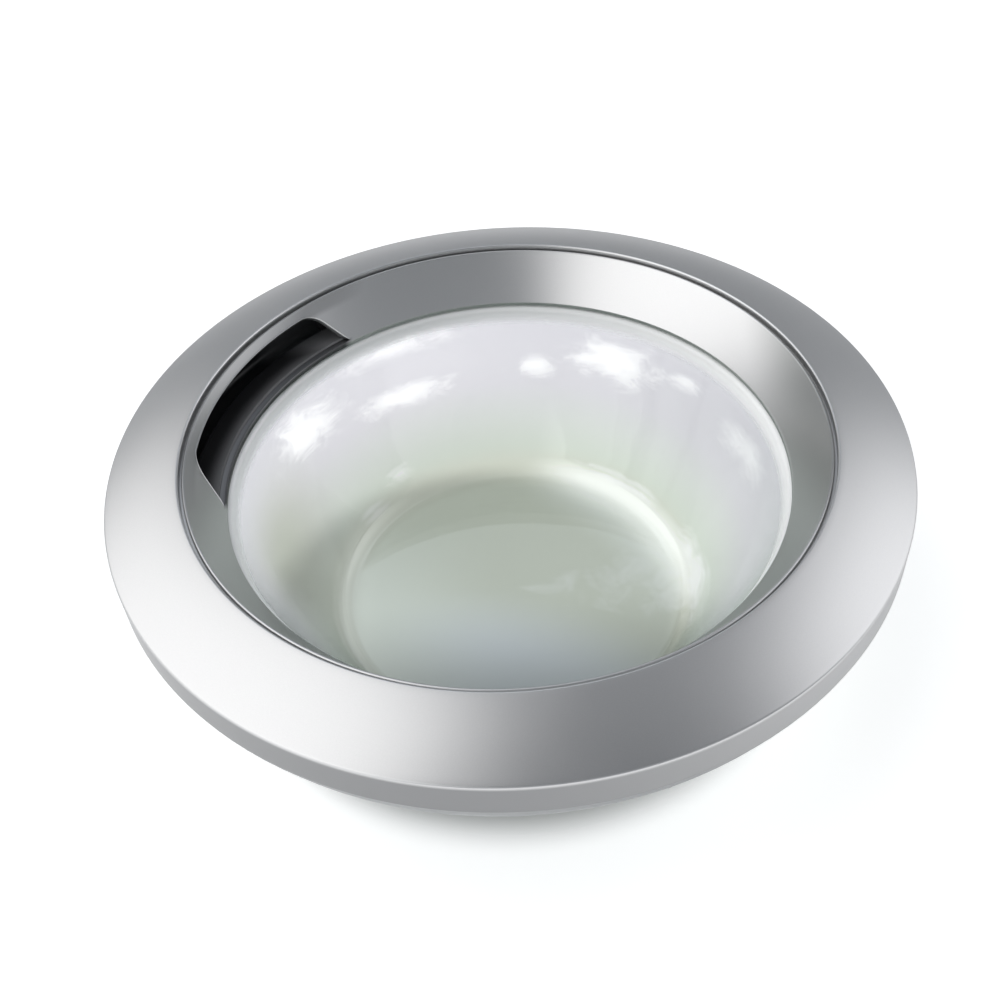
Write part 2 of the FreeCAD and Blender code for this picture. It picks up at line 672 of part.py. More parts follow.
def make_hinge_bush(side):
    """Flanged plastic bush in an outer knuckle."""
    y0, y1 = sorted((side * eye_in, side * eye_out))
    rim0, rim1 = sorted((side * (eye_in - BUSH_RIM_T), side * eye_in))
    body = rod_y(bush_out, y0, y1, pivot_x, pivot_z)
    body = fused(body, [rod_y(KNUCKLE_R - PRESS_GAP, rim0, rim1, pivot_x, pivot_z)])
    return body.cut(rod_y(bush_in, min(y0, rim0), max(y1, rim1), pivot_x, pivot_z))


clip_y = eye_out + FREE_GAP


def make_hinge_pin():
    """Headed pin with a groove for the clip at its upper end."""
    head_y = -eye_out - FREE_GAP
    pin = rod_y(PIN_R, head_y, eye_out + PIN_TAIL, pivot_x, pivot_z)
    pin = fused(pin, [rod_y(PIN_HEAD_R, head_y - PIN_HEAD_H, head_y, pivot_x, pivot_z)])
    groove = rod_y(PIN_HEAD_R, clip_y, clip_y + CLIP_T, pivot_x, pivot_z)
    return pin.cut(groove.cut(rod_y(PIN_R - CLIP_DEEP, clip_y, clip_y + CLIP_T, pivot_x, pivot_z)))


def make_hinge_pin_clip():
    """Open retaining clip in the groove of the pin."""
    y0, y1 = clip_y + RUN_GAP, clip_y + CLIP_T - RUN_GAP
    bore = PIN_R - CLIP_DEEP + PRESS_GAP
    ring = rod_y(CLIP_R, y0, y1, pivot_x, pivot_z).cut(rod_y(bore, y0, y1, pivot_x, pivot_z))
    return ring.cut(slab(pivot_x - bore, pivot_x + bore, y0, y1, pivot_z - CLIP_R, pivot_z))


def make_hinge_nut_plate():
    body = plate(door_leaf_x + FREE_GAP, plate_x, DOOR_LEAF_HALF - FREE_GAP, floor_z, nut_z, BACK_WALL)
    return body.cut([rod(HINGE_SCREW_R + RUN_GAP, floor_z, nut_z, hinge_screw_x, side * y)
                     for y in HINGE_SCREW_Y for side in (1, -1)])


def make_hinge_screw(x, y):
    """Countersunk screw, flush with the underside of the door leaf."""
    low = back_z - LEAF_T
    return turned([
        (0, low),
        (HINGE_HEAD_R, low),
        (HINGE_SCREW_R, low + hinge_head_h),
        (HINGE_SCREW_R, nut_z + HINGE_SCREW_TIP - TIP_BEVEL),
        (HINGE_SCREW_R - TIP_BEVEL, nut_z + HINGE_SCREW_TIP),
        (0, nut_z + HINGE_SCREW_TIP),
    ]).translate(V(x, y, 0))


frame_length = skirt_z + BITE - sink_z
clamp_length = clamp_z + BITE - sink_z
ear_length = EAR_T + EAR_DROP - 2 * BITE_SPARE
bracket_length = BACK_WALL + SHEET + BRACKET_SCREW_TIP

nodes = {
    "outer_ring": make_outer_ring(),
    "inner_ring": make_inner_ring(),
    "handle_cup": make_handle_cup(),
    "glass_bowl": make_glass_bowl(),
    "glass_seal": make_glass_seal(),
    "back_ring": make_back_ring(),
    "frame_screws": Part.makeCompound([pan_screw(sink_z, frame_length, *at) for at in frame_places]),
    "clamp_screws": Part.makeCompound([pan_screw(sink_z, clamp_length, *at) for at in clamp_places]),
    "cup_screws": Part.makeCompound([pan_screw(ear_z - EAR_T, ear_length, *at) for at in ear_places]),
    "latch_hook": make_latch_hook(),
    "hook_pin": make_hook_pin(),
    "hook_spring": make_hook_spring(),
    "hook_bracket": make_hook_bracket(),
    "bracket_screws": Part.makeCompound([pan_screw(back_z, bracket_length, hook_x, side * BRACKET_SCREW_Y)
                                         for side in (1, -1)]),
    "hinge_door_leaf": make_hinge_door_leaf(),
    "hinge_cabinet_leaf": make_hinge_cabinet_leaf(),
    "hinge_bush_upper": make_hinge_bush(1),
    "hinge_bush_lower": make_hinge_bush(-1),
    "hinge_pin": make_hinge_pin(),
    "hinge_pin_clip": make_hinge_pin_clip(),
    "hinge_nut_plate": make_hinge_nut_plate(),
    "hinge_screws": Part.makeCompound([make_hinge_screw(hinge_screw_x, side * y)
                                       for y in HINGE_SCREW_Y for side in (1, -1)]),
}

os.makedirs("parts", exist_ok=True)
for name, shape in nodes.items():
    shape.exportStep("parts/" + name + ".step")
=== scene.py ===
import bmesh
import bpy
import math
from mathutils import Matrix, Vector


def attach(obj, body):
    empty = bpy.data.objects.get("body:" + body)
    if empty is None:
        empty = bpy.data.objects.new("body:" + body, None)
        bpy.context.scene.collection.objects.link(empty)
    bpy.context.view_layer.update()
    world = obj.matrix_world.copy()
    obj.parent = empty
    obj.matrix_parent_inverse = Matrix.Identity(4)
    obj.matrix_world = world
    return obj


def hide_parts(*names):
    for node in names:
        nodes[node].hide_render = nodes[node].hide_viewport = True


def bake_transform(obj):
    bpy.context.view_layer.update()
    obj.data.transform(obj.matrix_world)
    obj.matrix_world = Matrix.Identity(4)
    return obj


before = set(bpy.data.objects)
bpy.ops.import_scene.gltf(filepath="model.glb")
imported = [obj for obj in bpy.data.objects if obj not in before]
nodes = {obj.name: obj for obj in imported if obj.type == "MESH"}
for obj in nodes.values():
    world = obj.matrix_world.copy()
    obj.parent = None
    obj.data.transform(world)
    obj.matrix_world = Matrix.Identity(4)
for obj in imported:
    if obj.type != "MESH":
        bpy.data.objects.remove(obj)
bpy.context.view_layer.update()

# Outer ring
# The wide sloping ring of the door face, injection moulded and sprayed with satin silver paint.
# It is screwed to the back ring from behind, and its lip stands on the shelf of the inner ring.


class Shade:
    """One socket of a material. Arithmetic on it adds Math nodes, and node() adds any other kind."""

    def __init__(self, tree, socket=None):
        self.tree = tree
        self.socket = socket

    def node(self, kind, settings=None, inputs=None, output=0):
        made = self.tree.nodes.new(kind)
        for name, value in (settings or {}).items():
            if name == "stops":
                ramp = made.color_ramp.elements
                while len(ramp) < len(value):
                    ramp.new(1.0)
                for stop, (place, colour) in zip(ramp, value):
                    stop.position = place
                    stop.color = colour
            else:
                setattr(made, name, value)
        for name, value in (inputs or {}).items():
            if isinstance(value, Shade):
                self.tree.links.new(value.socket, made.inputs[name])
            else:
                made.inputs[name].default_value = value
        return Shade(self.tree, made.outputs[output])

    def maths(self, operation, first, second):
        return self.node("ShaderNodeMath", {"operation": operation}, {0: first, 1: second})

    def __add__(self, other):
        return self.maths("ADD", self, other)

    def __radd__(self, other):
        return self.maths("ADD", other, self)

    def __sub__(self, other):
        return self.maths("SUBTRACT", self, other)

    def __rsub__(self, other):
        return self.maths("SUBTRACT", other, self)

    def __mul__(self, other):
        return self.maths("MULTIPLY", self, other)

    def __rmul__(self, other):
        return self.maths("MULTIPLY", other, self)

    def ramp(self, start, stop):
        """0 to 1 as this value goes from start to stop."""
        return self.node("ShaderNodeMapRange", {}, {"Value": self, "From Min": start, "From Max": stop})

    def ease(self, start, stop):
        """0 to 1 as this value goes from start to stop, slowly at both ends."""
        return self.node("ShaderNodeMapRange", {"interpolation_type": "SMOOTHSTEP"},
                         {"Value": self, "From Min": start, "From Max": stop})

    def mix(self, low, high):
        """Colour between two others, with this value as the share of the second."""
        return self.node("ShaderNodeMix", {"data_type": "RGBA"},
                         {"Factor": self, "A": low, "B": high}, output="Result")

    def lay(self, under, over):
        """Shader between two others, with this value as the share of the second."""
        return self.node("ShaderNodeMixShader", {}, {0: self, 1: under, 2: over})

    def bump(self, strength, depth):
        """Normal of a surface that this value raises, with its depth in millimetres."""
        return self.node("ShaderNodeBump", {}, {
            "Strength": strength, "Distance": depth / 1000, "Height": self})

    def axis(self, name):
        """One coordinate of this place."""
        return self.node("ShaderNodeSeparateXYZ", {}, {"Vector": self}, output=name)

    def along(self, direction):
        """How far this place lies in a direction."""
        return self.node("ShaderNodeVectorMath", {"operation": "DOT_PRODUCT"}, {0: self, 1: direction},
                         output="Value")

    def apart(self, point):
        """Distance between this place and a point."""
        return self.node("ShaderNodeVectorMath", {"operation": "DISTANCE"}, {0: self, 1: point},
                         output="Value")

    def level(self):
        """This place, brought down to the height of the floor."""
        return self.node("ShaderNodeVectorMath", {"operation": "MULTIPLY"}, {0: self, 1: (1, 1, 0)})

    def reach(self):
        """Distance between this place and the axis of the ring."""
        return self.level().apart((0, 0, 0))


def finish(name):
    """A new material, and the place on the piece that it covers, in millimetres."""
    material = bpy.data.materials.new(name)
    material.use_nodes = True
    material.node_tree.nodes.clear()
    metres = Shade(material.node_tree).node("ShaderNodeTexCoord", output="Object")
    place = metres.node("ShaderNodeVectorMath", {"operation": "SCALE"}, {0: metres, "Scale": 1000.0})
    return material, place


def coat(material, shader):
    """Ends a material with its shader."""
    out = material.node_tree.nodes.new("ShaderNodeOutputMaterial")
    material.node_tree.links.new(shader.socket, out.inputs["Surface"])


def mottle(place, scale, detail=3.0, rough=0.55, twist=0.0):
    """Soft noise around 0.5, scale in features per millimetre."""
    return place.node("ShaderNodeTexNoise", {"noise_dimensions": "3D"}, {
        "Vector": place, "Scale": scale, "Detail": detail, "Roughness": rough, "Distortion": twist})


def section(corners, steps=10):
    """Points of a closed section of (r, z) corners in millimetres; a third number rounds that corner."""
    points = []
    for i, corner in enumerate(corners):
        here = Vector(corner[:2])
        if len(corner) == 2:
            points.append(here)
            continue
        back = (Vector(corners[i - 1][:2]) - here).normalized()
        ahead = (Vector(corners[(i + 1) % len(corners)][:2]) - here).normalized()
        half = back.angle(ahead) / 2
        run = corner[2] / math.tan(half)
        centre = here + (back + ahead).normalized() * (corner[2] / math.sin(half))
        first = here + back * run - centre
        turn = first.angle_signed(here + ahead * run - centre)
        for k in range(steps + 1):
            points.append(centre + Matrix.Rotation(-turn * k / steps, 2) @ first)
    return points


def bowed(start, stop, height, share=0.8):
    """Corner that bows the line between two points out to its left, rounded over a share of it."""
    across = Vector(stop) - Vector(start)
    middle = (Vector(start) + Vector(stop)) / 2 + Vector((-across.y, across.x)).normalized() * height
    return middle.x, middle.y, share * across.length ** 2 / 4 / abs(height)


DOUBLED, SLIVER = 2e-6, 1e-7


def settle(mesh, corner=32.0):
    """Joins doubled points, turns the faces outwards and leaves only real corners sharp."""
    build = bmesh.new()
    build.from_mesh(mesh)
    bmesh.ops.remove_doubles(build, verts=build.verts, dist=DOUBLED)
    bmesh.ops.dissolve_degenerate(build, edges=build.edges, dist=SLIVER)
    bmesh.ops.recalc_face_normals(build, faces=build.faces)
    build.to_mesh(mesh)
    build.free()
    mesh.polygons.foreach_set("use_smooth", [True] * len(mesh.polygons))
    mesh.set_sharp_from_angle(angle=math.radians(corner))


def stand_in(mesh, material, node):
    """A mesh as an object in place of a CAD node."""
    settle(mesh)
    mesh.materials.clear()
    mesh.materials.append(material)
    made = bpy.data.objects.new(mesh.name, mesh)
    bpy.context.collection.objects.link(made)
    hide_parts(node)
    return made


def piece(name, points, faces, material, node):
    """A mesh in millimetres that stands for a CAD node of the door."""
    mesh = bpy.data.meshes.new(name)
    mesh.from_pydata([Vector(p) / 1000 for p in points], [], faces)
    made = stand_in(mesh, material, node)
    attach(made, "door")
    return made


def turned(name, corners, columns, material, node):
    """A closed section turned about the axis of the ring."""
    outline = section(corners)
    count = len(outline)
    points, faces = [], []
    for i in range(columns):
        angle = 2 * math.pi * i / columns
        for point in outline:
            points.append((point.x * math.cos(angle), point.x * math.sin(angle), point.y))
        for k in range(count):
            here, ahead = i * count, (i + 1) % columns * count
            faces.append((here + k, ahead + k, ahead + (k + 1) % count, here + (k + 1) % count))
    return piece(name, points, faces, material, node)


def silver_paint(name, painted_shade_spots):
    """Satin silver paint with fine flakes, darker in the spots of painted shade that a function gives for
    a place.
    """
    material, place = finish(name)
    flake = mottle(place, 2.4, 1.0, 0.4)
    drift = mottle(place, 0.014)
    paint = (flake * 0.6 + drift * 0.4).mix((0.56, 0.56, 0.565, 1), (0.66, 0.66, 0.66, 1))
    for share, colour in painted_shade_spots(place):
        paint = share.mix(paint, colour)
    coat(material, place.node("ShaderNodeBsdfPrincipled", {}, {
        "Base Color": paint,
        "Specular Tint": (0.64, 0.64, 0.645, 1),
        "Metallic": 0.94,
        "Roughness": 0.28 + drift * 0.06,
        "Normal": flake.bump(0.05, 0.04),
    }))
    return material


CREST, SEAM, EDGE, RIM = 132.0, 169.65, 210.0, 119.0
SKIRT, DRAFT, LEDGE, SKIN, LIP = 100.0, 0.4, 127.0, 2.6, 2.2
CREST_ROUND, EDGE_ROUND, CROWN, RING_COLUMNS = 1.0, 1.6, 1.3, 480
WALL_FRONT = (0.276, -0.961, 0)


def painted_shade_on_wall(place):
    """Painted shade: darker paint towards the front of the side wall."""
    share = place.axis("Z").ramp(RIM - 0.8, RIM - 2.5) * place.reach().ramp(EDGE - 1.5, EDGE - 0.7)
    return [(share * place.along(WALL_FRONT).ramp(120.0, 213.0), (0.27, 0.273, 0.278, 1))]


fall = (CREST - RIM) / (EDGE - SEAM)
under = SKIN * math.hypot(1, fall)
inside = (SEAM + LIP, CREST - LIP * fall - under)
outside = (EDGE - SKIN, RIM + SKIN * fall - under)
turned("outer_ring_shell", [
    (SEAM, LEDGE),
    (SEAM, CREST, CREST_ROUND),
    bowed((SEAM, CREST), (EDGE, RIM), CROWN),
    (EDGE, RIM, EDGE_ROUND),
    (EDGE - DRAFT, SKIRT),
    (EDGE - DRAFT - SKIN, SKIRT),
    outside,
    bowed(inside, outside, CROWN),
    inside,
    (SEAM + LIP, LEDGE),
], RING_COLUMNS, silver_paint("satin_silver_paint", painted_shade_on_wall), "outer_ring")

# Inner ring
# The funnel between the crest and the glass, moulded and sprayed like the outer ring.
# Its foot presses the seal onto the glass, and its mouth opens into the handle cup.
VIEW, GLASS_EDGE, FOOT, FOOT_R, FOOT_ROUND = 150.0, 103.0, 101.2, 163.5, 0.9
CONE_TOP, WALL, SHELF_R, SHELF_LOW = 168.35, 2.5, 175.75, 124.5
MOUTH_LOW, MOUTH_TOP, MOUTH_SILL, MOUTH_LINTEL = 74.0, 67.0, 104.2, 123.8
MOUTH_ROUND, MOUTH_EASE, MOUTH_PAST = 10.0, 1.5, 2.5
SILL_EASE, BEAD, BEAD_TURN, ROLL, HALVINGS = 0.5, 0.55, 3.4, 12, 40
DENSE_FROM, DENSE_SPAN, DENSE_STEPS, DENSE_CLEAR = 0.62, 0.4, 170, 0.01
RIGHT = (0.914, 0.407, 0)
spread = (CONE_TOP - VIEW) / (CREST - GLASS_EDGE)
lean = math.hypot(1, spread)
sill = MOUTH_SILL - SILL_EASE
behind = VIEW + WALL * lean


def painted_shade_in_funnel(place):
    """Painted shade on the sill and the lintel of the mouth, and on both flanks of the funnel."""
    height, across, right = place.axis("Z"), place.axis("X"), place.along(RIGHT)
    below_seam = place.reach().ramp(169.0, 168.0)
    on_sill = height.ramp(MOUTH_SILL + 1.0, MOUTH_SILL + 0.3) * across.ramp(-129.5, -132.0)
    on_lintel = height.ramp(MOUTH_LINTEL - 2.3, MOUTH_LINTEL + 0.2) * across.ramp(-130.0, -152.0)
    flanks = (right.ease(138.0, 165.0) + 0.5 * right.ease(-145.0, -163.0)) * below_seam
    on_flanks = flanks * height.ramp(GLASS_EDGE + 0.5, GLASS_EDGE + 1.5)
    return [(on_sill, (0.12, 0.12, 0.124, 1)), (on_lintel * below_seam, (0.34, 0.342, 0.346, 1)),
            (on_flanks, (0.36, 0.365, 0.36, 1))]


def mouth_top(y):
    """Height where the eased edge of the mouth starts, at a distance from its middle."""
    side = Vector((MOUTH_TOP - MOUTH_LOW, MOUTH_LINTEL - MOUTH_SILL)).normalized()
    low = Vector((MOUTH_LOW + MOUTH_EASE * side.y, MOUTH_SILL - MOUTH_EASE * side.x))
    top, radius = MOUTH_LINTEL + MOUTH_EASE, MOUTH_ROUND + MOUTH_EASE
    reach = low.x + (top - low.y) * side.x / side.y
    corner = radius * math.tan(math.acos(-side.x) / 2)
    if y <= reach - corner:
        return top
    if y < reach - side.x * corner:
        return top - radius + math.sqrt(max(radius ** 2 - (y - reach + corner) ** 2, 0.0))
    return low.y + (low.x - y) * side.y / -side.x


def mouth_height(angle):
    """Height of that edge on the funnel at an angle from the handle, found by halving."""
    def over(z):
        return mouth_top(abs(math.sin(angle)) * (VIEW + (z - GLASS_EDGE) * spread)) - z
    if abs(angle) > math.pi / 2 or over(sill) <= 0:
        return sill
    low, high = sill, CREST
    for _ in range(HALVINGS):
        middle = (low + high) / 2
        low, high = (middle, high) if over(middle) > 0 else (low, middle)
    return low


def around(angle, r, z):
    """Place at an angle from the handle."""
    return Vector((-r * math.cos(angle), -r * math.sin(angle), z))


def on_funnel(angle, z):
    """Place on the face of the funnel, at an angle from the handle."""
    return around(angle, VIEW + (z - GLASS_EDGE) * spread, z)


# Columns stand closer together where the mouth ends.
mouth_end = math.asin((MOUTH_LOW + MOUTH_PAST) / VIEW)
dense_low, dense_high = DENSE_FROM - DENSE_CLEAR, DENSE_FROM + DENSE_SPAN + DENSE_CLEAR
even = [2 * math.pi * k / RING_COLUMNS for k in range(-RING_COLUMNS // 2, RING_COLUMNS // 2)]
dense = [mouth_end * (DENSE_FROM + DENSE_SPAN * k / DENSE_STEPS) for k in range(DENSE_STEPS + 1)]
angles = sorted([a for a in even if not dense_low * mouth_end < abs(a) < dense_high * mouth_end]
                + dense + [-a for a in dense])
tops = [mouth_height(a) for a in angles]


def edge_roll(index, upper):
    """Points that roll the face over into the mouth and back to the hidden side."""
    angle, opening = angles[index], tops[index] - sill
    after = (index + 1) % len(angles)
    here = on_funnel(angle, tops[index] if upper else sill)
    lead = on_funnel(angles[after], tops[after] if upper else sill)
    trail = on_funnel(angles[index - 1], tops[index - 1] if upper else sill)
    face = Vector((math.cos(angle), math.sin(angle), spread)).normalized()
    inward = face.cross(lead - trail).normalized()
    if (inward.z < 0) != upper:
        inward = -inward
    ease = min(MOUTH_EASE if upper else SILL_EASE, 0.4 * opening)
    bead = BEAD * ease / MOUTH_EASE if upper else 0.0
    rows = []
    for k in range(1, ROLL + 1):
        turn = math.pi / 2 * k / ROLL
        lift = bead * math.sin(min(turn * BEAD_TURN, math.pi)) - ease * (1 - math.cos(turn))
        rows.append(here + inward * ease * math.sin(turn) + face * lift)
    return rows, rows[-1] - face * (WALL - ease)


front = section([(VIEW, FOOT), (VIEW, GLASS_EDGE, FOOT_ROUND), (CONE_TOP, CREST, CREST_ROUND),
                 (CONE_TOP, LEDGE)])
split = len(front) // 2
behind_lower = [(behind, GLASS_EDGE), (FOOT_R, GLASS_EDGE), (FOOT_R, FOOT)]
behind_upper = [(behind + (SHELF_LOW - GLASS_EDGE) * spread, SHELF_LOW), (SHELF_R, SHELF_LOW),
                (SHELF_R, LEDGE)]
rings, opened = [], []
for index, angle in enumerate(angles):
    is_open = tops[index] > sill + 1e-3
    back_sill = around(angle, behind + (MOUTH_SILL - GLASS_EDGE) * spread, MOUTH_SILL)
    start = on_funnel(angle, sill)
    low_roll, low_back = [start] * ROLL, back_sill
    top_roll, top_back = [start] * ROLL, back_sill
    if is_open:
        low_roll = edge_roll(index, False)[0]
        top_roll, top_back = edge_roll(index, True)
    lower = [around(angle, *p) for p in front[:split]] + [start] + low_roll + [low_back]
    lower += [around(angle, *p) for p in behind_lower]
    upper = [around(angle, *p) for p in reversed(front[split:])] + [on_funnel(angle, tops[index])]
    upper += top_roll + [top_back]
    upper += [around(angle, *p) for p in behind_upper]
    rings.append(lower + upper)
    opened.append(is_open)
stride, lower_count = len(rings[0]), split + 2 + ROLL + len(behind_lower)
points = [p for ring in rings for p in ring]
faces = []
for i in range(len(rings)):
    j = (i + 1) % len(rings)
    shut = not opened[i] and not opened[j]
    for first, last, roll in ((0, lower_count, split),
                              (lower_count, stride, lower_count + len(front) - split)):
        for k in range(first, last):
            if shut and roll <= k < roll + ROLL + 1:
                continue
            ahead = k + 1 if k + 1 < last else first
            faces.append((i * stride + k, j * stride + k, j * stride + ahead, i * stride + ahead))
piece("inner_ring_funnel", points, faces, silver_paint("funnel_silver_paint", painted_shade_in_funnel),
      "inner_ring")

# Handle cup
# The finger pocket behind the mouth of the inner ring, moulded in black plastic with a fine grain.
# Two screws hold its ears to bosses behind the inner ring. Painted light makes its floor grey near the
# mouth and on one end wall.


def dress(material, *names):
    """Gives a material to CAD nodes that keep their own shape."""
    for name in names:
        mesh = nodes[name].data
        mesh.materials.clear()
        mesh.materials.append(material)


black, place = finish("black_pocket_plastic")
grain = mottle(place, 1.5, 2.0)
worn = mottle(place, 0.035)
# Painted light: lighter grey near the mouth and on one end wall, black deeper in the cup.
painted_light = place.maths("MAXIMUM", (place.reach() + worn * 3.0).ease(165.0, 152.0),
                    place.axis("Y").ease(46.0, 68.0))
bare = worn.mix((0.010, 0.010, 0.011, 1), (0.020, 0.020, 0.022, 1))
coat(black, place.node("ShaderNodeBsdfPrincipled", {}, {
    "Base Color": painted_light.mix(bare, (0.16, 0.16, 0.165, 1)),
    "Roughness": 0.32 + worn * 0.12,
    "Normal": grain.bump(0.25, 0.06),
}))
dress(black, "handle_cup")

# Glass bowl
# Pressed clear glass, fire polished on the inside, greener where it is thick and frosted at the neck.
# Pale painted highlights lie on it in ragged marks. Its flange is clamped between the back ring and the
# inner ring.
FLANGE, FLANGE_T, BOWL, RIM_IN, GLASS_T, FLOOR_T, FLOOR = 163.5, 5.0, 95.0, 148.5, 5.0, 7.0, 100.0
SWELL, HEEL_ROUND, FLOOR_ROUND, NECK_ROUND, RIM_ROUND, BOWL_COLUMNS = 6.0, 17.0, 12.0, 3.0, 3.5, 384
FROST_LOW, FROST_HIGH, FROST = 89.5, 96.5, 0.85
FRONT = (0.407, -0.914, 0)
glass, place = finish("pressed_glass")
height, reach = place.axis("Z"), place.reach()
near, right = place.along(FRONT), place.along(RIGHT)
# The tint by height is greener and darker low down, partly from the thick glass and partly painted shade,
# and darker towards the rim as painted shade.
tint = place.node("ShaderNodeValToRGB", {"stops": [
    (0.09, (0.72, 0.74, 0.64, 1)), (0.20, (0.71, 0.76, 0.68, 1)), (0.34, (0.72, 0.75, 0.71, 1)),
    (0.55, (0.71, 0.70, 0.73, 1)), (0.95, (0.66, 0.655, 0.69, 1))]},
    {"Fac": height.ramp(0.0, BOWL + FLANGE_T)}, output="Color")
# Painted light and shade in the bowl: a pale blue painted reflection on the floor at the front, lighter
# patches of painted light at the right and left of the floor, and a darker green patch of painted shade
# low on the left wall.
floor_part = height.ease(13.0, 9.0)
painted_reflection_front = floor_part * place.level().apart((26.6, -207.2, 0)).ease(212.0, 160.0)
painted_light_right = floor_part * reach.ease(56.0, 96.0) * right.ease(5.0, 55.0) * near.ease(30.0, -30.0)
painted_light_left = floor_part * right.ease(0.0, -100.0) * near.ease(-90.0, 10.0)
painted_shade_left = (right.ease(-85.0, -125.0) * height.ease(90.0, 50.0)
              * near.ease(-85.0, -5.0) * near.ease(70.0, 10.0))
tint = painted_reflection_front.mix(tint, (0.89, 0.92, 0.97, 1))
tint = painted_light_right.mix(tint, (0.98, 1.0, 0.95, 1))
tint = painted_light_left.mix(tint, (0.95, 0.98, 0.90, 1))
tint = painted_shade_left.mix(tint, (0.53, 0.55, 0.48, 1))

# Each painted highlight has its middle as a turn from the handle in degrees and a height in millimetres,
# then half its length and half its height in the same units, and how pale it is.
PAINTED_HIGHLIGHTS = ((-9, 74, 12, 11, 1.0), (-38, 60, 13, 6, 1.0), (-76, 64, 5, 5, 0.9), (-97, 74, 11, 12, 1.0),
         (-117, 79, 5, 4, 0.8), (-143, 74, 11, 8, 0.6), (-40, 88, 14, 5, 0.6), (-111, 12.5, 17, 1.8, 0.9),
         (-14, 12.5, 6, 1.8, 0.9), (-29, 21, 5, 3, 0.6), (-162, 13, 24, 7, 0.8))
drawn = place.node("ShaderNodeMapping", {}, {"Vector": place, "Scale": (0.048, 0.048, 0.12)})
streak_noise = mottle(drawn, 1.0, 5.0, 0.62, 0.8)
bearing = place.maths("ARCTAN2", place.axis("Y") * -1.0, place.axis("X") * -1.0) * math.degrees(1)
painted_highlight = streak_noise.ease(0.70, 0.85)
for turn, level, half_turn, half_level, pale in PAINTED_HIGHLIGHTS:
    off = place.node("ShaderNodeCombineXYZ", {}, {
        "X": (bearing - turn) * (1 / half_turn), "Y": (height - level) * (1 / half_level)})
    ragged = off.apart((0, 0, 0)) + streak_noise * 2.6 - 1.3
    painted_highlight = place.maths("MAXIMUM", painted_highlight, ragged.ease(1.3, 0.2) * pale)
clear = place.node("ShaderNodeBsdfPrincipled", {}, {
    "Base Color": painted_highlight.mix(tint, (1.0, 1.0, 1.0, 1)),
    "Roughness": 0.0,
    "IOR": 1.5,
    "Transmission Weight": 1.0,
    "Normal": mottle(place, 0.016, 1.5, 0.4).bump(0.3, 1.0),
})
frosted = place.node("ShaderNodeBsdfPrincipled", {}, {
    "Base Color": (0.95, 0.955, 0.955, 1), "Roughness": 0.35})
dimmed = place.node("ShaderNodeBsdfTransparent", {}, {"Color": (0.66, 0.69, 0.67, 1)})
passing = place.node("ShaderNodeBsdfTransparent", {}, {"Color": (0.86, 0.89, 0.87, 1)})
mirrored = place.node("ShaderNodeLightPath", output="Is Reflection Ray")
unseen = (place.node("ShaderNodeLightPath", output="Is Shadow Ray")
          + place.node("ShaderNodeLightPath", output="Is Diffuse Ray"))
body = (height.ease(FROST_LOW, FROST_HIGH) * FROST).lay(clear, frosted)
coat(glass, unseen.lay(mirrored.lay(body, dimmed), passing))

rim_top = BOWL + FLANGE_T
belly = bowed((FLOOR, FLOOR_T), (RIM_IN, rim_top), -SWELL)
high = (Vector((RIM_IN, rim_top)) - Vector(belly[:2])).normalized()
deep = (Vector(belly[:2]) - Vector((FLOOR, FLOOR_T))).normalized()
high_out, deep_out = GLASS_T / high.y, GLASS_T / deep.y
belly_z = belly[1] - (high_out - deep_out) / (high.x / high.y - deep.x / deep.y)
turned("bowl_of_glass", [
    (0.0, 0.0),
    (FLOOR + deep_out - FLOOR_T * deep.x / deep.y, 0.0, HEEL_ROUND),
    (belly[0] + high_out - (belly[1] - belly_z) * high.x / high.y, belly_z, belly[2]),
    (RIM_IN + high_out - FLANGE_T * high.x / high.y, BOWL, NECK_ROUND),
    (FLANGE, BOWL),
    (FLANGE, rim_top),
    (RIM_IN, rim_top, RIM_ROUND),
    belly,
    (FLOOR, FLOOR_T, FLOOR_ROUND),
    (0.0, FLOOR_T),
], BOWL_COLUMNS, glass, "glass_bowl")

# Glass seal
# A grey rubber channel, extruded and joined into a hoop, with the dull bloom of old rubber.
# It is pushed round the flange of the glass before the rings are closed on it.
rubber, place = finish("seal_rubber")
bloom = mottle(place, 0.06)
coat(rubber, place.node("ShaderNodeBsdfPrincipled", {}, {
    "Base Color": bloom.mix((0.28, 0.285, 0.29, 1), (0.33, 0.335, 0.34, 1)),
    "Roughness": 0.55 + bloom * 0.15,
    "Normal": bloom.bump(0.2, 0.1),
}))
dress(rubber, "glass_seal")

# Back ring and its screws
# The light grey moulding that clamps everything together, with a fine spark-eroded grain.
# Zinc-plated screws with cross recesses sit in its counterbores.
grey, place = finish("grey_back_plastic")
grain = mottle(place, 1.3, 2.0)
drift = mottle(place, 0.018)
coat(grey, place.node("ShaderNodeBsdfPrincipled", {}, {
    "Base Color": drift.mix((0.43, 0.44, 0.445, 1), (0.49, 0.50, 0.505, 1)),
    "Roughness": 0.42 + drift * 0.1,
    "Normal": grain.bump(0.3, 0.08),
}))
dress(grey, "back_ring")

zinc, place = finish("zinc_plated_steel")
spangle = mottle(place, 0.42)
coat(zinc, place.node("ShaderNodeBsdfPrincipled", {}, {
    "Base Color": spangle.mix((0.52, 0.53, 0.55, 1), (0.72, 0.72, 0.70, 1)),
    "Metallic": 1.0,
    "Roughness": 0.25 + spangle * 0.2,
}))
dress(zinc, "hook_bracket", "hinge_nut_plate")

# The sizes of a recess are in metres, like the CAD meshes it is cut from.
RECESS_SHARE, RECESS_HALF, RECESS_DEEP, RECESS_TAPER = 0.62, 0.00048, 0.0016, 0.6
RECESS_FLARE, RECESS_START = 1.05, 0.0002


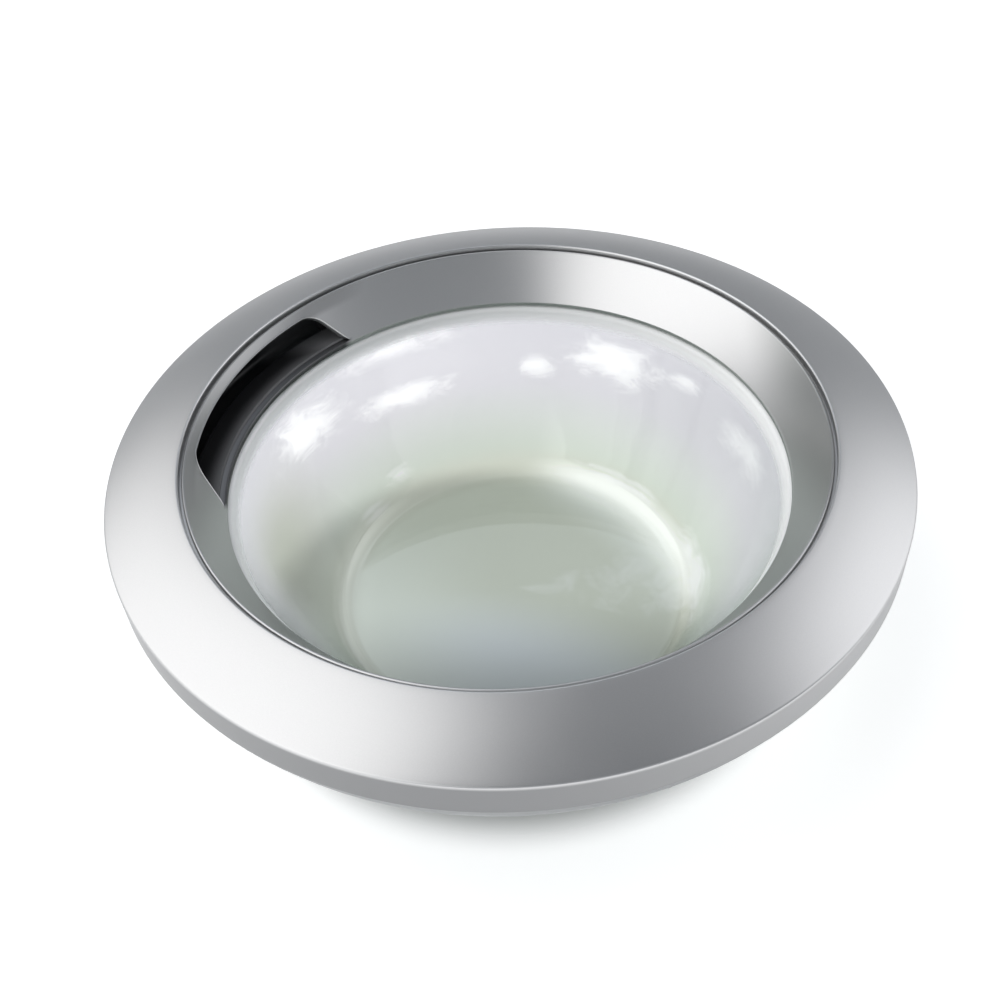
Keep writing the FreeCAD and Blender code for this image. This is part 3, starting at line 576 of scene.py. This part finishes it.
def cross_recess(build, x, y, z, arm):
    """Adds a tapered cross to a mesh, from just under a screw head up into it."""
    rings = []
    for share, level in ((RECESS_FLARE, z - RECESS_START), (RECESS_TAPER, z + RECESS_DEEP)):
        a, h = arm * share, RECESS_HALF * (0.5 + share / 2)
        quarter = [(a, h), (h, h), (h, a)]
        outline = quarter + [(-u, v) for u, v in reversed(quarter)]
        outline += [(-u, -v) for u, v in quarter] + [(u, -v) for u, v in reversed(quarter)]
        rings.append([build.verts.new((x + u, y + v, level)) for u, v in outline])
    low, high = rings
    build.faces.new(low[::-1])
    build.faces.new(high)
    for k in range(len(low)):
        after = (k + 1) % len(low)
        build.faces.new((low[k], low[after], high[after], high[k]))


def recessed(node):
    """A set of CAD screws again, with a cross recess in the underside of each head."""
    whole, crosses = bmesh.new(), bmesh.new()
    whole.from_mesh(nodes[node].data)
    whole.transform(nodes[node].matrix_world)
    bmesh.ops.remove_doubles(whole, verts=whole.verts, dist=DOUBLED)
    left = set(whole.verts)
    while left:
        screw = [left.pop()]
        for vert in screw:
            beside = {edge.other_vert(vert) for edge in vert.link_edges} & left
            left -= beside
            screw.extend(beside)
        xs, ys, zs = ([vert.co[axis] for vert in screw] for axis in range(3))
        cross_recess(crosses, (min(xs) + max(xs)) / 2, (min(ys) + max(ys)) / 2, min(zs),
                     RECESS_SHARE * (max(xs) - min(xs)) / 2)
    bmesh.ops.triangulate(crosses, faces=crosses.faces)
    bmesh.ops.recalc_face_normals(crosses, faces=crosses.faces)
    solid, cutter = bpy.data.meshes.new(node + "_plain"), bpy.data.meshes.new(node + "_crosses")
    whole.to_mesh(solid)
    crosses.to_mesh(cutter)
    whole.free()
    crosses.free()
    plain, tool = bpy.data.objects.new(solid.name, solid), bpy.data.objects.new(cutter.name, cutter)
    bpy.context.collection.objects.link(plain)
    bpy.context.collection.objects.link(tool)
    cut = plain.modifiers.new("recess", "BOOLEAN")
    cut.operation, cut.solver, cut.object = "DIFFERENCE", "EXACT", tool
    result = bpy.data.meshes.new_from_object(plain.evaluated_get(bpy.context.evaluated_depsgraph_get()))
    result.name = node + "_with_recess"
    bpy.data.objects.remove(plain)
    bpy.data.objects.remove(tool)
    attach(stand_in(result, zinc, node), "door")


for screws in ("frame_screws", "clamp_screws", "cup_screws", "bracket_screws", "hinge_screws"):
    recessed(screws)

# Latch
# A die-cast hook on a peened steel pin in a pressed bracket, behind the handle cup.
# A torsion spring pushes it outwards, and its lower leg follows the hook as it swings.
cast, place = finish("die_cast_zinc")
skin = mottle(place, 0.9, 4.0)
coat(cast, place.node("ShaderNodeBsdfPrincipled", {}, {
    "Base Color": skin.mix((0.36, 0.365, 0.37, 1), (0.5, 0.505, 0.51, 1)),
    "Metallic": 1.0,
    "Roughness": 0.38 + skin * 0.15,
    "Normal": skin.bump(0.25, 0.1),
}))
dress(cast, "latch_hook")

bright, place = finish("ground_steel")
ground = place.node("ShaderNodeMapping", {}, {"Vector": place, "Scale": (0.3, 9.0, 0.3)})
lines = mottle(ground, 1.0, 2.0, 0.5)
coat(bright, place.node("ShaderNodeBsdfPrincipled", {}, {
    "Base Color": lines.mix((0.6, 0.6, 0.61, 1), (0.75, 0.75, 0.76, 1)),
    "Metallic": 1.0,
    "Roughness": 0.16 + lines * 0.14,
}))
dress(bright, "hook_pin", "hinge_pin", "hinge_pin_clip")

COIL_R, COIL_START, COIL_RISE, COIL_TURNS, COIL_STEPS = 4.55, 5.3, 1.05, 2, 48
LEG_LOW, LEG_HIGH, LEG_BEND, BEND_STEPS, WIRE_R, WIRE_SIDES = -4.5, 5.5, 1.2, 8, 0.5, 12
hook_axis = Vector((-189.0, 0.0, 82.5))
corner = Vector((COIL_R, COIL_START, LEG_LOW))
before, after = corner - Vector((0, LEG_BEND, 0)), corner + Vector((0, 0, LEG_BEND))
route = [Vector((COIL_R, 0, LEG_LOW))]
for k in range(BEND_STEPS + 1):
    share = k / BEND_STEPS
    route.append(before * (1 - share) ** 2 + corner * 2 * share * (1 - share) + after * share ** 2)
for k in range(COIL_TURNS * COIL_STEPS + 1):
    turn, rise = 2 * math.pi * k / COIL_STEPS, COIL_RISE * k / COIL_STEPS
    route.append(Vector((COIL_R * math.cos(turn), COIL_START + rise, COIL_R * math.sin(turn))))
route.append(Vector((COIL_R, COIL_START + COIL_RISE * COIL_TURNS, LEG_HIGH)))
points, faces = [], []
side = Vector((1, 0, 0))
for i, here in enumerate(route):
    along = (route[min(i + 1, len(route) - 1)] - route[max(i - 1, 0)]).normalized()
    side = (side - along * side.dot(along)).normalized()
    for k in range(WIRE_SIDES):
        turn = 2 * math.pi * k / WIRE_SIDES
        spoke = side * math.cos(turn) + along.cross(side) * math.sin(turn)
        points.append(hook_axis + here + spoke * WIRE_R)
    for k in range(WIRE_SIDES if i else 0):
        low, high, beside = (i - 1) * WIRE_SIDES, i * WIRE_SIDES, (k + 1) % WIRE_SIDES
        faces.append((low + k, low + beside, high + beside, high + k))
faces += [tuple(range(WIRE_SIDES - 1, -1, -1)), tuple(range(len(points) - WIRE_SIDES, len(points)))]
mesh = bpy.data.meshes.new("hook_spring_wire")
mesh.from_pydata([p / 1000 for p in points], [], faces)
spring = stand_in(mesh, bright, "hook_spring")
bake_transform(spring)

# Hinge
# Two die-cast leaves on a ground steel pin that a clip keeps in. One is screwed to the back ring.
# The other is bolted to the cabinet and turns on two bushes of natural acetal.
dress(cast, "hinge_door_leaf", "hinge_cabinet_leaf")
acetal, place = finish("natural_acetal")
milk = mottle(place, 0.2)
coat(acetal, place.node("ShaderNodeBsdfPrincipled", {}, {
    "Base Color": milk.mix((0.78, 0.78, 0.75, 1), (0.86, 0.86, 0.84, 1)),
    "Roughness": 0.35 + milk * 0.1,
}))
dress(acetal, "hinge_bush_upper", "hinge_bush_lower")

# Studio
# A matt white floor that carries the soft shadow of the door, in a grey room with soft panels of light.
# The floor glows a little, so that it is white to the camera and in what the paint and glass mirror.
FLOOR_HALF, FLOOR_GAP = 3.0, 0.0002
paper, place = finish("white_floor")
soft_shadow = place.reach().ease(174.0, 141.0) * place.along(FRONT).ease(0.0, 90.0)
matt = soft_shadow.lay(place.node("ShaderNodeBsdfDiffuse", {}, {"Color": (0.92, 0.92, 0.92, 1)}),
                       place.node("ShaderNodeBsdfDiffuse", {}, {"Color": (0.34, 0.345, 0.34, 1)}))
faint = place.node("ShaderNodeEmission", {}, {"Color": (0.03, 0.03, 0.03, 1)})
weak = place.node("ShaderNodeEmission", {}, {"Color": (0.12, 0.12, 0.126, 1)})
full = place.node("ShaderNodeEmission", {}, {"Color": (0.45, 0.45, 0.45, 1)})
# The glow is weaker under the door as a painted shadow, and fainter still in the soft shadow, which is
# painted too.
clear_of_door = place.apart((-18.0, -28.0, 0)).ease(110.0, 138.0)
glow = soft_shadow.lay(clear_of_door.lay(weak, full), faint)
lit = place.node("ShaderNodeAddShader", {}, {0: matt, 1: glow})
seen = place.node("ShaderNodeLightPath", output="Is Camera Ray")
mirrored = place.node("ShaderNodeLightPath", output="Is Glossy Ray")
through = place.node("ShaderNodeLightPath", output="Is Transmission Ray")
coat(paper, (seen + mirrored + through).lay(matt, lit))
sheet = bpy.data.meshes.new("floor")
sheet.from_pydata([(x * FLOOR_HALF, y * FLOOR_HALF, -FLOOR_GAP)
                   for x, y in ((-1, -1), (1, -1), (1, 1), (-1, 1))], [], [(0, 1, 2, 3)])
sheet.materials.append(paper)
floor = bpy.data.objects.new("floor", sheet)
bpy.context.collection.objects.link(floor)

# Each panel has its bearing and elevation, the half angles of its core and its rim, and its colour.
PANELS = ((41, 32, 6, 35, (1.55, 1.56, 1.59, 1)), (119, 53, 7, 17, (1.2, 1.27, 1.37, 1)),
          (158, 28, 4, 16, (1.2, 1.2, 1.2, 1)), (-168, 61, 14, 28, (1.68, 1.68, 1.68, 1)),
          (-166, 40, 18, 40, (1.68, 1.68, 1.68, 1)), (-128, 28, 20, 43, (1.72, 1.72, 1.72, 1)))
sky = bpy.data.worlds.new("studio")
sky.use_nodes = True
sky.node_tree.nodes.clear()
away = Shade(sky.node_tree).node("ShaderNodeTexCoord", output="Generated")


def soft_panel(bearing, elevation, core, rim):
    """How much of a round soft panel a direction meets, from 0 at its rim to 1 in its core, in degrees."""
    turn, rise = math.radians(bearing), math.radians(elevation)
    middle = (math.cos(turn) * math.cos(rise), math.sin(turn) * math.cos(rise), math.sin(rise))
    return away.along(middle).ease(math.cos(math.radians(rim)), math.cos(math.radians(core)))


light = away.axis("Z").mix((0.46, 0.48, 0.50, 1), (0.17, 0.18, 0.195, 1))
for bearing, elevation, core, rim, colour in PANELS:
    light = soft_panel(bearing, elevation, core, rim).mix(light, colour)
room = away.node("ShaderNodeBackground", {}, {"Color": light, "Strength": 1.0})
out = sky.node_tree.nodes.new("ShaderNodeOutputWorld")
sky.node_tree.links.new(room.socket, out.inputs["Surface"])
bpy.context.scene.world = sky

# Camera
# Stands where the photograph was taken from, a little off level.
# The crest of the ring has its measured place in the camera's own axes.
AZIMUTH, ELEVATION, TILT = 24.0, 44.41, -3.98
FOCAL_PIXELS, FRAME_PIXELS = 1300.0, 1000.0
CREST_SEEN = Vector((0.0025, 0.0375, -0.677))
crest = Vector((0.0, 0.0, CREST / 1000))
lens = bpy.data.cameras.new("camera")
lens.sensor_width = 36.0
lens.lens = lens.sensor_width * FOCAL_PIXELS / FRAME_PIXELS
camera = bpy.data.objects.new("camera", lens)
turn = (Matrix.Rotation(math.radians(AZIMUTH), 4, "Z")
        @ Matrix.Rotation(math.radians(90 - ELEVATION), 4, "X")
        @ Matrix.Rotation(math.radians(TILT), 4, "Z"))
camera.matrix_world = Matrix.Translation(crest - turn.to_3x3() @ CREST_SEEN) @ turn
bpy.context.collection.objects.link(camera)
bpy.context.scene.camera = camera
bpy.context.scene.view_settings.view_transform = "Standard"
